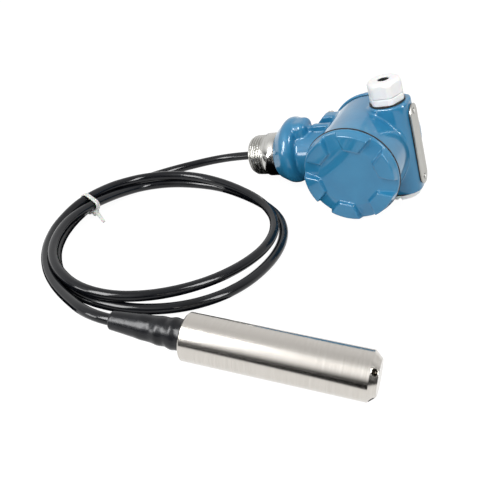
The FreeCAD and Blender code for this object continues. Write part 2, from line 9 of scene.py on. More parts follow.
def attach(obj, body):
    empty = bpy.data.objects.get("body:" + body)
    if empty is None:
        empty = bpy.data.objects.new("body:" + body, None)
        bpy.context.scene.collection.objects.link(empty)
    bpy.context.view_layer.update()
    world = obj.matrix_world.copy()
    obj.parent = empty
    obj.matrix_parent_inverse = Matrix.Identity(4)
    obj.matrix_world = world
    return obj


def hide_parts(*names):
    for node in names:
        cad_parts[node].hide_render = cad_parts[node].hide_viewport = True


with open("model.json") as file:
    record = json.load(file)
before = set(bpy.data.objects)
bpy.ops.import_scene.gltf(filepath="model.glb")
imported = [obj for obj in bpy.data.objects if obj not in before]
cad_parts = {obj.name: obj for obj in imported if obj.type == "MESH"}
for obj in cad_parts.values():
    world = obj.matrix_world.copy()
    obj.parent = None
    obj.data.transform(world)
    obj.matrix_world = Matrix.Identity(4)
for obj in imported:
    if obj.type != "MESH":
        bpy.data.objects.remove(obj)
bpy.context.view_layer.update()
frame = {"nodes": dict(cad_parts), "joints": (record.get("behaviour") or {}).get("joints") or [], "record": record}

# Camera. A normal lens on a tripod looks down on the bench from the front, so that the coil, the probe and
# the housing all lie in the square frame.
MM = 0.001
camera_dip = 30.75
camera_stand = Vector((-28.83, -427.86, 261.1)) * MM
camera_data = bpy.data.cameras.new("bench camera")
camera_data.sensor_width = 36.0
camera_data.lens = 51.66
camera = bpy.data.objects.new("bench camera", camera_data)
camera.location = camera_stand
camera.rotation_euler = (math.radians(90 - camera_dip), 0, 0)
bpy.context.scene.collection.objects.link(camera)
bpy.context.scene.camera = camera
bpy.context.scene.view_settings.view_transform = "Standard"


# Studio. A seamless matt white bench under soft boxes, before a white wall. The room behind the camera is
# dark at bench height, which gives polished metal its dark bands. The bench keeps a faint shadow.
def linear(hex_colour):
    """Linear colour of an sRGB hex value."""
    parts = [int(hex_colour[k:k + 2], 16) / 255 for k in (1, 3, 5)]
    return tuple(c / 12.92 if c <= 0.04045 else ((c + 0.055) / 1.055) ** 2.4 for c in parts) + (1.0,)


def add(tree, kind, links=None, **settings):
    """Adds a node with its settings. A link is a socket to join from, or a value to set."""
    node = tree.nodes.new(kind)
    for name, value in settings.items():
        setattr(node, name, value)
    for socket, source in (links or {}).items():
        if isinstance(source, bpy.types.NodeSocket):
            tree.links.new(source, node.inputs[socket])
        else:
            node.inputs[socket].default_value = source
    return node


def seen_rays(tree):
    """Sockets that are one for camera rays, and for rays that a mirror or a clear body sends on."""
    path = add(tree, "ShaderNodeLightPath")
    gloss, clear = path.outputs["Is Glossy Ray"], path.outputs["Is Transmission Ray"]
    mirrored = add(tree, "ShaderNodeMath", {0: gloss, 1: clear}, operation="MAXIMUM")
    return path.outputs["Is Camera Ray"], mirrored.outputs[0]


bench_half = 4.0
bench_z = -0.2 * MM
corners = ((-1, -1), (1, -1), (1, 1), (-1, 1))
bench_mesh = bpy.data.meshes.new("white_bench")
bench_mesh.from_pydata([(x * bench_half, y * bench_half, bench_z) for x, y in corners], [], [(0, 1, 2, 3)])
bench = bpy.data.objects.new("white_bench", bench_mesh)
bpy.context.scene.collection.objects.link(bench)
bench_paper = bpy.data.materials.new("matt white paper")
bench_paper.use_nodes = True
tree = bench_paper.node_tree
tree.nodes.clear()
lit = add(tree, "ShaderNodeBsdfDiffuse", {"Color": linear("#B4B4B4")})
faint = add(tree, "ShaderNodeBsdfDiffuse", {"Color": linear("#6E6E6E")})
glow = add(tree, "ShaderNodeEmission", {"Color": linear("#FFFFFF"), "Strength": 0.94})
shown = add(tree, "ShaderNodeAddShader", {0: faint.outputs[0], 1: glow.outputs[0]})
from_camera, from_mirror = seen_rays(tree)
seen = add(tree, "ShaderNodeMath", {0: from_camera, 1: from_mirror}, operation="MAXIMUM")
bench_mix = add(tree, "ShaderNodeMixShader", {0: seen.outputs[0], 1: lit.outputs[0], 2: shown.outputs[0]})
add(tree, "ShaderNodeOutputMaterial", {"Surface": bench_mix.outputs[0]})
bench_mesh.materials.append(bench_paper)

room = bpy.data.worlds.new("white room")
room.use_nodes = True
tree = room.node_tree
tree.nodes.clear()
from_camera, from_mirror = seen_rays(tree)
way_out = add(tree, "ShaderNodeTexCoord")
height = add(tree, "ShaderNodeSeparateXYZ", {"Vector": way_out.outputs["Generated"]})
# Greys by height, from the bench to straight overhead: on the camera's side, left and right, and behind the
# object.
room_greys = {
    "left": ((0.0, "#303030"), (0.12, "#383838"), (0.24, "#959595"), (0.44, "#DADADA"), (0.64, "#FBFBFB"),
             (0.8, "#FFFFFF"), (0.9, "#E7E7E7"), (1.0, "#B8B8B8")),
    "right": ((0.0, "#303030"), (0.3, "#505050"), (0.6, "#808080"), (0.9, "#ACACAC"), (1.0, "#B8B8B8")),
    "back": ((0.0, "#C2C2C2"), (0.42, "#CECECE"), (0.7, "#CACACA"), (0.88, "#C4C4C4"), (1.0, "#B8B8B8")),
}
walls = {}
for side, greys in room_greys.items():
    wall = add(tree, "ShaderNodeValToRGB", {"Fac": height.outputs["Z"]})
    wall.color_ramp.elements.remove(wall.color_ramp.elements[1])
    wall.color_ramp.elements[0].position = greys[0][0]
    wall.color_ramp.elements[0].color = linear(greys[0][1])
    for position, grey in greys[1:]:
        wall.color_ramp.elements.new(position).color = linear(grey)
    walls[side] = wall.outputs["Color"]
depth = add(tree, "ShaderNodeMapRange", {"Value": height.outputs["Y"], "From Min": -0.25, "From Max": 0.25})
across = add(tree, "ShaderNodeMapRange", {"Value": height.outputs["X"], "From Min": -0.1, "From Max": 0.25})
before = add(tree, "ShaderNodeMixRGB", {"Fac": across.outputs[0], "Color1": walls["left"],
                                        "Color2": walls["right"]})
round_about = add(tree, "ShaderNodeMixRGB", {"Fac": depth.outputs[0], "Color1": before.outputs[0],
                                             "Color2": walls["back"]})
ambient = add(tree, "ShaderNodeBackground", {"Color": linear("#FFFFFF"), "Strength": 0.5})
mirror = add(tree, "ShaderNodeBackground", {"Color": round_about.outputs[0], "Strength": 1.5})
white = add(tree, "ShaderNodeBackground", {"Color": linear("#FFFFFF"), "Strength": 1.0})
unseen = add(tree, "ShaderNodeMixShader", {0: from_mirror, 1: ambient.outputs[0], 2: mirror.outputs[0]})
room_mix = add(tree, "ShaderNodeMixShader", {0: from_camera, 1: unseen.outputs[0], 2: white.outputs[0]})
add(tree, "ShaderNodeOutputWorld", {"Surface": room_mix.outputs[0]})
bpy.context.scene.world = room

# Soft lamps: stand, aim, width, height, power.
lamps = {
    "left soft lamp": ((-0.67, -0.70, 0.85), (0.0, 0.02, 0.03), 0.6, 0.6, 6.2),
    "right soft lamp": ((0.80, -0.50, 0.75), (0.05, 0.05, 0.04), 0.5, 0.7, 2.8),
    "overhead soft lamp": ((0.05, 0.30, 1.25), (-0.02, 0.03, 0.0), 0.9, 0.7, 2.6),
    "front fill lamp": ((-0.30, -1.10, 0.36), (0.0, 0.03, 0.03), 0.9, 0.5, 3.6),
}
for name, (stand, aim, width, tall, power) in lamps.items():
    light = bpy.data.lights.new(name, "AREA")
    light.shape = "RECTANGLE"
    light.size = width
    light.size_y = tall
    light.energy = power
    lamp = bpy.data.objects.new(name, light)
    lamp.location = stand
    lamp.rotation_euler = (Vector(aim) - Vector(stand)).to_track_quat("-Z", "Y").to_euler()
    lamp.visible_glossy = False
    bpy.context.scene.collection.objects.link(lamp)

# Cards and lit fronts that only mirrors see: middle, aim, width, height, spin, glow. At a glow of 0 a card
# is black. Black cards lie by the coil, the neck and the probe, and keep their lower flanks dark.
mirror_cards = {
    "left_box_front": ((-0.362, -0.270, 0.307), (-0.087, 0.025, 0.012), 0.20, 0.33, 0, 17.0),
    "low_window_front": ((-0.390, -0.157, 0.065), (0.020, 0.130, 0.030), 0.10, 0.10, 0, 10.0),
    "right_box_front": ((0.842, -0.477, 0.671), (-0.020, 0.020, 0.0), 0.28, 0.80, 0, 17.0),
    "coil_card": ((-0.115, -0.007, -0.0001), (-0.115, -0.007, 1.0), 0.15, 0.134, 0, 0.0),
    "shoulder_card": ((-0.0223, 0.0931, -0.0001), (-0.0223, 0.0931, 1.0), 0.22, 0.052, 40.8, 0.0),
    "neck_card": ((0.045, 0.117, -0.0001), (0.045, 0.117, 1.0), 0.10, 0.11, 0, 0.0),
    "front_card": ((0.0, -0.836, -0.0001), (0.0, -0.836, 1.0), 2.0, 1.30, 0, 0.0),
}
for name, (middle, aim, width, tall, spin, glow) in mirror_cards.items():
    turn = (Vector(aim) - Vector(middle)).to_track_quat("Z", "Y") @ Quaternion((0, 0, 1), math.radians(spin))
    card_mesh = bpy.data.meshes.new(name)
    card_mesh.from_pydata([Vector(middle) + turn @ Vector((x * width / 2, y * tall / 2, 0))
                           for x, y in corners], [], [(0, 1, 2, 3)])
    card = bpy.data.objects.new(name, card_mesh)
    bpy.context.scene.collection.objects.link(card)
    silk = bpy.data.materials.new("silk of " + name)
    silk.use_nodes = True
    tree = silk.node_tree
    tree.nodes.clear()
    shine = add(tree, "ShaderNodeEmission", {"Color": linear("#FFFFFF"), "Strength": glow})
    add(tree, "ShaderNodeOutputMaterial", {"Surface": shine.outputs[0]})
    card_mesh.materials.append(silk)
    card.visible_camera = False
    card.visible_diffuse = False
    card.visible_transmission = False
    card.visible_shadow = False


# Cable. A round signal cable, 7 mm across, with an extruded glossy black jacket. It leaves the threaded
# neck of the housing, lies in a little over two loose turns held by one tie, and ends in the probe's sleeve.
def new_material(name, **constants):
    """A material with one Principled shader, its constant sockets set."""
    material = bpy.data.materials.new(name)
    material.use_nodes = True
    shader = material.node_tree.nodes["Principled BSDF"]
    for socket, value in constants.items():
        shader.inputs[socket.replace("_", " ")].default_value = value
    return material, material.node_tree, shader


def per_mm(size_mm):
    """Noise scale that gives features of a size in millimetres, as Object coordinates are metres."""
    return 1 / (size_mm * MM)


def mottled(tree, shader, vector, size_mm, dark, light, detail=3.0):
    """Base colour that wanders between two near tones."""
    noise = add(tree, "ShaderNodeTexNoise", {"Vector": vector, "Scale": per_mm(size_mm), "Detail": detail})
    tones = add(tree, "ShaderNodeValToRGB", {"Fac": noise.outputs["Fac"]})
    tones.color_ramp.elements[0].position = 0.3
    tones.color_ramp.elements[0].color = linear(dark)
    tones.color_ramp.elements[1].position = 0.7
    tones.color_ramp.elements[1].color = linear(light)
    tree.links.new(tones.outputs["Color"], shader.inputs["Base Color"])


def bumped(tree, shader, vector, size_mm, depth_mm, strength, detail=2.0):
    """Fine relief of noise with a real depth."""
    noise = add(tree, "ShaderNodeTexNoise", {"Vector": vector, "Scale": per_mm(size_mm), "Detail": detail})
    relief = add(tree, "ShaderNodeBump", {"Height": noise.outputs["Fac"], "Strength": strength,
                                          "Distance": depth_mm * MM})
    tree.links.new(relief.outputs["Normal"], shader.inputs["Normal"])


cable_diameter = 7.0
connector_end = (-23.05, 140.30, 17.49)
sleeve_end = (-109.02, -91.81, 14.0)
from_housing = [connector_end, (-38.63, 148.19, 13.11), (-60, 152, 8), (-80, 146.5, 5.2), (-100, 136, 4)]
to_probe = [(-123.22, -86.98, 14), sleeve_end]
coil_x = -87.0
coil_y = 25.0
oval_across = 80.0
oval_deep = 90.0
# Loose turns, from the housing's end, as sighted along each strand and then smoothed: heading round the coil
# in degrees, drift from the oval, and height of the centre.
lay_of_turns = [
    (-610, 10.4, 3.7), (-596, 0.4, 3.9), (-584, -2.9, 4.5), (-574, -4.2, 5.0), (-562, -4.4, 4.5),
    (-552, -4.0, 3.9), (-540, -3.0, 3.6), (-526, -1.4, 3.6), (-512, 0.1, 3.6), (-497, 2.6, 3.6),
    (-482, 4.5, 3.6), (-468, 2.8, 3.6), (-454, 1.6, 3.6), (-439, 0.2, 3.6), (-424, -1.3, 3.6),
    (-410, -2.5, 3.6), (-396, -2.7, 3.6), (-381, -1.3, 3.6), (-366, 1.0, 3.6), (-352, 3.1, 3.6),
    (-338, 3.6, 3.6), (-323, 1.6, 3.6), (-308, -0.9, 3.6), (-294, -0.7, 3.6), (-280, -1.7, 3.6),
    (-265, -1.0, 3.6), (-250, -1.5, 3.6), (-236, -7.3, 6.0), (-225, -10.0, 7.9), (-214, -10.1, 9.2),
    (-203, -8.8, 10.0), (-192, -6.6, 10.5), (-181, -4.3, 10.8), (-166, -0.9, 10.9), (-152, 2.2, 11.0),
    (-138, 4.2, 11.0), (-123, 5.4, 10.7), (-108, 2.2, 10.4), (-94, -4.2, 9.9), (-80, -10.4, 9.1),
    (-65, -13.7, 8.6), (-50, -13.8, 8.6), (-36, -11.6, 9.1), (-22, -8.4, 9.6), (-7, -5.4, 10.1),
    (8, -3.7, 10.3), (22, -3.7, 10.3), (36, -5.0, 10.2), (51, -6.1, 10.2), (66, -5.4, 10.5),
    (80, -3.2, 10.8), (94, -1.1, 10.9), (109, -0.5, 11.0), (124, -2.3, 11.7), (134, -3.8, 12.4),
    (146, -3.2, 12.3), (156, -0.7, 10.5), (168, 2.0, 7.5), (178, 3.9, 5.8), (193, 5.5, 4.8),
    (208, 7.0, 5.1), (222, 9.5, 6.4), (236, 14.4, 8.8),
]
spline_cut = 0.9


def on_coil(turn, drift, height):
    """Point of a turn, in millimetres. The spline runs a little inside its control points."""
    angle = math.radians(turn)
    oval = 1 / math.hypot(math.cos(angle) / oval_across, math.sin(angle) / oval_deep)
    reach = oval + drift + spline_cut
    return (coil_x + reach * math.cos(angle), coil_y + reach * math.sin(angle), height)


cable_points = from_housing + [on_coil(*station) for station in lay_of_turns] + to_probe
cable_curve = bpy.data.curves.new("signal_cable", "CURVE")
cable_curve.dimensions = "3D"
spline = cable_curve.splines.new("NURBS")
spline.points.add(len(cable_points) - 1)
for control, point in zip(spline.points, cable_points):
    control.co = (point[0] * MM, point[1] * MM, point[2] * MM, 1)
spline.order_u = 3
spline.use_endpoint_u = True
cable_curve.resolution_u = 8
cable_curve.bevel_depth = cable_diameter / 2 * MM
cable_curve.bevel_resolution = 8
cable = bpy.data.objects.new("signal_cable", cable_curve)
bpy.context.scene.collection.objects.link(cable)

# Polyurethane jacket: extruded smooth and black, with a soft sheen and faint unevenness along its length.
jacket, tree, shader = new_material("polyurethane jacket", IOR=1.39, Roughness=0.13)
place = add(tree, "ShaderNodeTexCoord")
mottled(tree, shader, place.outputs["Object"], 9, "#0B0C10", "#14161B")
bumped(tree, shader, place.outputs["Object"], 5, 0.25, 0.1)
cable_curve.materials.append(jacket)
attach(cable, "housing")
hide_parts("cable_coil", "cable_housing_run", "cable_probe_run")


# Cable tie. One moulded nylon strap pulled round the three strands, with its ratchet head on the inner
# side of the coil and the end of the strap left standing out of it.
def finished(name, mesh, material, body, slot, *nodes):
    """Puts a finished mesh in the scene, riding on its body in place of its CAD nodes."""
    mesh.materials.clear()
    mesh.materials.append(material)
    piece = bpy.data.objects.new(name, mesh)
    bpy.context.scene.collection.objects.link(piece)
    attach(piece, body)
    if nodes:
        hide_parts(*nodes)
    return piece


def smooth_by_angle(mesh, degrees):
    """Smooth shading with creases kept at edges sharper than an angle."""
    mesh.shade_smooth()
    mesh.set_sharp_from_angle(angle=math.radians(degrees))


def lofted(sections, closed_path):
    """Mesh through closed sections of like point counts, in metres. Open lofts get end caps."""
    body = bmesh.new()
    rings = [[body.verts.new(p) for p in section] for section in sections]
    count = len(rings)
    for k in range(count if closed_path else count - 1):
        here, after = rings[k], rings[(k + 1) % count]
        for i in range(len(here)):
            j = (i + 1) % len(here)
            body.faces.new((here[i], here[j], after[j], after[i]))
    if not closed_path:
        body.faces.new(list(reversed(rings[0])))
        body.faces.new(rings[-1])
    bmesh.ops.recalc_face_normals(body, faces=body.faces)
    mesh = bpy.data.meshes.new("loft")
    body.to_mesh(mesh)
    body.free()
    return mesh


def rounded_box_section(half_wide, half_thick, edge):
    """Points of a rounded rectangle, counter-clockwise."""
    points = []
    for corner in range(4):
        sx = 1 if corner in (0, 3) else -1
        sy = 1 if corner in (0, 1) else -1
        for step in range(4):
            angle = math.radians(90 * corner + 30 * step)
            points.append((sx * (half_wide - edge) + edge * math.cos(angle),
                           sy * (half_thick - edge) + edge * math.sin(angle)))
    return points


tie_heading = math.radians(148)
tie_reach = 82.5
tie_out = Vector((math.cos(tie_heading), math.sin(tie_heading), 0))
tie_along = Vector((-math.sin(tie_heading), math.cos(tie_heading), 0))
tie_up = Vector((0, 0, 1))
tie_base = Vector((coil_x, coil_y, 0)) + tie_out * tie_reach
# The three strands in the tie: distance out from its base and height of each centre.
tied_strands = [(-2.7, 11.9), (-9.9, 9.2), (-4.3, 4.9)]
tie_wide = 3.5
tie_thick = 1.1
tie_edge = 0.35
tie_slack = 0.25
section = rounded_box_section(tie_wide / 2, tie_thick / 2, tie_edge)
rings = []
strap_steps = 72
for k in range(strap_steps):
    angle = 2 * math.pi * k / strap_steps
    normal = (math.cos(angle), math.sin(angle))
    strand = max(tied_strands, key=lambda s: s[0] * normal[0] + s[1] * normal[1])
    reach = cable_diameter / 2 + tie_slack + tie_thick / 2
    middle = tie_base + tie_out * (strand[0] + reach * normal[0]) + tie_up * (strand[1] + reach * normal[1])
    outward = tie_out * normal[0] + tie_up * normal[1]
    rings.append([(middle + tie_along * wide + outward * thick) * MM for wide, thick in section])
strap = lofted(rings, True)
head_way = (tie_out * -0.93 + tie_along * 0.34 + tie_up * -0.1).normalized()
head_flat = head_way.cross(tie_along).normalized()
head_out = -8.9
head_rise = 4.4
head_start = tie_base + tie_out * head_out + tie_up * head_rise
head_wide = 5.4
head_thick = 4.0
head_edge = 0.6
head_long = 5
# The head's sections: distance along it, and share of its full size.
head_steps = [(-0.2, 0.86), (0.5, 1), (4.6, 1), (5.3, 0.84)]
head_section = rounded_box_section(head_wide / 2, head_thick / 2, head_edge)
head = lofted([[(head_start + head_way * step + tie_along * wide * fit + head_flat * thick * fit) * MM
                for wide, thick in head_section] for step, fit in head_steps], False)
# The loose end of the strap: distance from the head, and how far it droops.
tail_points = [(0, 0), (3, 0), (6, -0.4), (9, -1.2), (11, -1.9)]
tail_taper = 0.02
tail_thin = 0.9
tail_section = rounded_box_section(tie_wide / 2, tie_thick / 2 * tail_thin, tie_edge)
tail = lofted([[(head_start + head_way * (head_long + run) + tie_up * drop
                 + tie_along * wide * (1 - tail_taper * run) + head_flat * thick) * MM
                for wide, thick in tail_section] for run, drop in tail_points], False)
tie_mesh = bpy.data.meshes.new("cable_tie_nylon")
joined = bmesh.new()
for part in (strap, head, tail):
    joined.from_mesh(part)
joined.to_mesh(tie_mesh)
joined.free()
smooth_by_angle(tie_mesh, 40)

# Natural nylon: moulded, milky and a little translucent, with a soft gloss.
natural_nylon, tree, shader = new_material("natural nylon", IOR=1.53, Roughness=0.32,
                                           Transmission_Weight=0.25, Subsurface_Weight=0.2,
                                           Subsurface_Scale=0.002)
place = add(tree, "ShaderNodeTexCoord")
mottled(tree, shader, place.outputs["Object"], 6, "#E9E9E6", "#F6F6F3")
bumped(tree, shader, place.outputs["Object"], 1.2, 0.05, 0.2)
tie = finished("cable_tie_strap", tie_mesh, natural_nylon, "housing", "white_nylon", "cable_tie")


# Housing. One aluminium die casting: the barrel with its two chambers, the conduit horns under the
# nameplate, and the ribbed neck with its thick collar. Its cast edges are soft under the paint.
def softened(node, voxel_mm, rounds, firm=None):
    """Mesh of a CAD node with its edges rounded as a casting's are. Where firm says 1, edges stay crisp."""
    source = bmesh.new()
    source.from_mesh(frame["nodes"][node].data)
    bmesh.ops.remove_doubles(source, verts=source.verts, dist=0.001 * MM)
    solid = bpy.data.meshes.new(node + " solid")
    source.to_mesh(solid)
    source.free()
    trial = bpy.data.objects.new(node + " trial", solid)
    bpy.context.scene.collection.objects.link(trial)
    skin = trial.modifiers.new("cast skin", "REMESH")
    skin.mode = "VOXEL"
    skin.voxel_size = voxel_mm * MM
    mesh = bpy.data.meshes.new_from_object(trial.evaluated_get(bpy.context.evaluated_depsgraph_get()))
    bpy.data.objects.remove(trial)
    points = np.zeros(len(mesh.vertices) * 3)
    mesh.vertices.foreach_get("co", points)
    points = points.reshape(-1, 3)
    pairs = np.zeros(len(mesh.edges) * 2, dtype=np.int64)
    mesh.edges.foreach_get("vertices", pairs)
    pairs = pairs.reshape(-1, 2)
    count = np.bincount(pairs.ravel(), minlength=len(points))
    ease = np.full(len(points), 0.5)
    if firm:
        ease *= 1 - firm(points)
    for _ in range(rounds):
        total = np.zeros_like(points)
        for axis in range(3):
            total[:, axis] += np.bincount(pairs[:, 0], points[pairs[:, 1], axis], len(points))
            total[:, axis] += np.bincount(pairs[:, 1], points[pairs[:, 0], axis], len(points))
        points += ease[:, None] * (total / count[:, None] - points)
    mesh.vertices.foreach_set("co", points.ravel())
    mesh.shade_smooth()
    mesh.update()
    return mesh


joints = {joint["name"]: joint for joint in frame["joints"]}
front_seat_y = 41.8
rear_seat_y = -18.0
conduit_way = Vector(joints["gland_nut_turn"]["axis"])
barrel_way = Vector(joints["front_cover_turn"]["axis"])
crown_way = conduit_way.cross(barrel_way)
barrel_centre = Vector(joints["front_cover_turn"]["pos_m"]) - barrel_way * front_seat_y * MM
housing_frame = Matrix((conduit_way, barrel_way, crown_way)).transposed().to_4x4()
housing_frame.translation = barrel_centre
seat_band = 1.6
seat_hold = 1.3
seat_most = 0.95


def seat_edges(points):
    """Near one at the machined rims that the covers screw down to, and none away from them."""
    along = (points - np.array(barrel_centre)) @ np.array(barrel_way) / MM
    gap = np.minimum(abs(along - front_seat_y), abs(along - rear_seat_y))
    return np.clip(seat_hold - gap / seat_band, 0, seat_most)


casting_voxel = 0.72
casting_rounds = 9
casting = softened("housing_body", casting_voxel, casting_rounds, seat_edges)

# Stoved enamel: glossy blue paint on a die casting, with faint orange peel and tones that wander a little.
enamel, tree, shader = new_material("blue stoved enamel", IOR=1.5, Roughness=0.4, Specular_IOR_Level=0.22,
                                    Coat_Weight=1.0, Coat_Roughness=0.05)
place = add(tree, "ShaderNodeTexCoord")
mottled(tree, shader, place.outputs["Object"], 22, "#2277A3", "#2D84AF", 4.0)
peel = add(tree, "ShaderNodeTexNoise", {"Vector": place.outputs["Object"], "Scale": per_mm(2.4),
                                        "Detail": 1.5})
swell = add(tree, "ShaderNodeTexNoise", {"Vector": place.outputs["Object"], "Scale": per_mm(9),
                                         "Detail": 1.0})
swell_share = 2.2
both = add(tree, "ShaderNodeMath", {0: swell.outputs["Fac"], 1: swell_share, 2: peel.outputs["Fac"]},
           operation="MULTIPLY_ADD")
relief = add(tree, "ShaderNodeBump", {"Height": both.outputs[0], "Strength": 0.55, "Distance": 0.12 * MM})
tree.links.new(relief.outputs["Normal"], shader.inputs["Normal"])
finished("housing_casting", casting, enamel, "housing", "blue_enamel", "housing_body")

# Screw covers. Two die-cast caps with a male thread behind and six drafted grip lugs round a plain raised
# disc, in the same paint as the housing.
cap_voxel = 0.5
cap_rounds = 3
for side in ("front", "rear"):
    cap = softened(side + "_cover", cap_voxel, cap_rounds)
    finished(side + "_screw_cap", cap, enamel, side + "_cover", "blue_enamel", side + "_cover")


# Gaskets and grommets. Moulded black nitrile rings, squeezed between the metal parts, the gland and the
# cable. They keep water out of the housing and the probe.
def dress(material, *nodes):
    """Gives CAD nodes a finish."""
    for node in nodes:
        data = frame["nodes"][node].data
        data.materials.clear()
        data.materials.append(material)


# Moulded nitrile: near black and matt, with a fine grain.
nitrile, tree, shader = new_material("black nitrile rubber", IOR=1.52, Roughness=0.62)
place = add(tree, "ShaderNodeTexCoord")
mottled(tree, shader, place.outputs["Object"], 3, "#0D0D0E", "#1A1A1B")
bumped(tree, shader, place.outputs["Object"], 0.7, 0.06, 0.3)
dress(nitrile, "gland_seal", "gland_gasket", "blanking_plug_gasket", "connector_seal", "cable_grommet",
      "tail_grommet", "cell_seal", "feedthrough_bush")


# Cover seals. Moulded nitrile rings in a recess of each barrel mouth, with a thin black lip out to the rim of the
# joint. The lip is partly the seal and partly painted shade: it stands in for the shadow in the joint and shows
# all round as a dark line behind the cover.
def turned_ring(profile, sides, place):
    """Ring of a closed (radius, height) profile in millimetres, turned about Y."""
    return lofted([[place @ (Vector((radius * math.cos(2 * math.pi * k / sides), along,
                                     radius * math.sin(2 * math.pi * k / sides))) * MM)
                    for k in range(sides)] for radius, along in profile], True)


seal_r = 32.2
seal_half = 0.9
lip_low = 0.05
lip_high = 0.65
bead = [(seal_r + seal_half * math.cos(math.radians(a)), -seal_half + seal_half * math.sin(math.radians(a)))
        for a in range(0, 360, 30)]
# Reach of each lip, out to the rim of the joint, where its black is painted shade of the joint.
front_shade_lip_r = 37.2
rear_shade_lip_r = 35.4
seal_sides = 128
for side, seat_y, facing, reach in (("front", front_seat_y, 1, front_shade_lip_r),
                                    ("rear", rear_seat_y, -1, rear_shade_lip_r)):
    seat = housing_frame @ Matrix.Translation((0, seat_y * MM, 0)) @ Matrix.Diagonal((1, facing, 1, 1))
    # The lip is a flat web with a round bead at its rim. Its black stands in part for the joint's shade.
    lip = [(seal_r, lip_low), (reach - 0.7, lip_low), (reach - 0.3, -0.15), (reach - 0.05, 0.1), (reach, 0.4),
           (reach - 0.1, 0.7), (reach - 0.3, 0.9), (reach - 0.38, lip_high), (seal_r, lip_high)]
    joined = bmesh.new()
    for profile in (bead, lip):
        joined.from_mesh(turned_ring(profile, seal_sides, seat))
    seal_mesh = bpy.data.meshes.new(side + "_cover_seal")
    joined.to_mesh(seal_mesh)
    joined.free()
    smooth_by_angle(seal_mesh, 50)
    finished(side + "_lip_seal", seal_mesh, nitrile, side + "_cover_ring", "black_rubber",
             side + "_cover_seal")


# Nameplate. A bare stainless strip with round ends, stamped from sheet that is brushed along its length,
# and held on the casting's pad by two pressed rivets.
def brushed_steel(name, local_frame, grain_mm, tones, roughness, relief_mm):
    """Stainless steel with a lay: the grain sizes are along the local X, Y and Z."""
    material, tree, shader = new_material(name, Metallic=1.0, Roughness=roughness)
    place = add(tree, "ShaderNodeTexCoord")
    turned = add(tree, "ShaderNodeMapping", {"Vector": place.outputs["Object"],
                                             "Rotation": local_frame.inverted().to_euler()})
    drawn = add(tree, "ShaderNodeMapping", {"Vector": turned.outputs[0],
                                            "Scale": [per_mm(g) for g in grain_mm]})
    grain = add(tree, "ShaderNodeTexNoise", {"Vector": drawn.outputs[0], "Scale": 1.0, "Detail": 4.0})
    ramp = add(tree, "ShaderNodeValToRGB", {"Fac": grain.outputs["Fac"]})
    ramp.color_ramp.elements[0].position = 0.25
    ramp.color_ramp.elements[0].color = linear(tones[0])
    ramp.color_ramp.elements[1].position = 0.75
    ramp.color_ramp.elements[1].color = linear(tones[1])
    tree.links.new(ramp.outputs["Color"], shader.inputs["Base Color"])
    relief = add(tree, "ShaderNodeBump", {"Height": grain.outputs["Fac"], "Strength": 0.4,
                                          "Distance": relief_mm * MM})
    tree.links.new(relief.outputs["Normal"], shader.inputs["Normal"])
    return material


# Brushed sheet: a soft satin grey with streaks along the plate. Real scratches are finer, so the grain is
# drawn as coarse as it needs to show, here and on the other steels.
plate_steel = brushed_steel("brushed stainless sheet", housing_frame, (14, 0.35, 6),
                            ("#A09E98", "#C2C1BC"), 0.38, 0.02)
dress(plate_steel, "nameplate")

# Plate shadow strip. A thin black strip on the pad under the rim of the nameplate: painted shade, which stands in
# for the shadow in the gap under the plate's edge and shows as a dark line round it.
plate_seat = 39.6
shade_strip_rise = 1.1
shade_strip_wide = 2.0
shade_strip_gap = 0.02
shade_strip_foot = 0.3
shade_strip_lip = 0.25
plate_half_wide = 7.7
plate_half_straight = 25.3
arc = [(1, math.radians(a)) for a in range(-90, 91, 10)] + [(-1, math.radians(a)) for a in range(90, 271, 10)]
rings = []
shade_strip_low = plate_seat - shade_strip_rise
shade_strip_high = plate_seat - shade_strip_gap
for inset, along in ((shade_strip_foot, shade_strip_low), (shade_strip_lip, shade_strip_high),
                     (shade_strip_wide, shade_strip_high), (shade_strip_wide, shade_strip_low)):
    bend_r = plate_half_wide - inset
    rings.append([housing_frame @ (Vector((end * plate_half_straight + bend_r * math.cos(angle),
                                           bend_r * math.sin(angle), along)) * MM)
                  for end, angle in arc])
shade_strip = lofted(rings, True)
smooth_by_angle(shade_strip, 30)
finished("plate_bedding", shade_strip, nitrile, "housing", "black_rubber")


# Plate rivets. Two stainless rivets with low round heads, one at each end of the plate, pressed through it
# into the casting's pad.
def turned_mesh(profile, sides, place):
    """Surface of revolution about Z of (radius, height) points in millimetres, closed at its axis ends."""
    body = bmesh.new()
    rings = []
    for radius, height in profile:
        if radius == 0:
            rings.append([body.verts.new((0, 0, height * MM))])
        else:
            rings.append([body.verts.new((radius * MM * math.cos(2 * math.pi * k / sides),
                                          radius * MM * math.sin(2 * math.pi * k / sides), height * MM))
                          for k in range(sides)])
    for low, high in zip(rings, rings[1:]):
        for k in range(sides):
            n = (k + 1) % sides
            quad = [low[k % len(low)], low[n % len(low)], high[n % len(high)], high[k % len(high)]]
            body.faces.new(list(dict.fromkeys(quad)))
    bmesh.ops.recalc_face_normals(body, faces=body.faces)
    mesh = bpy.data.meshes.new("turned")
    body.to_mesh(mesh)
    body.free()
    mesh.transform(place)
    return mesh


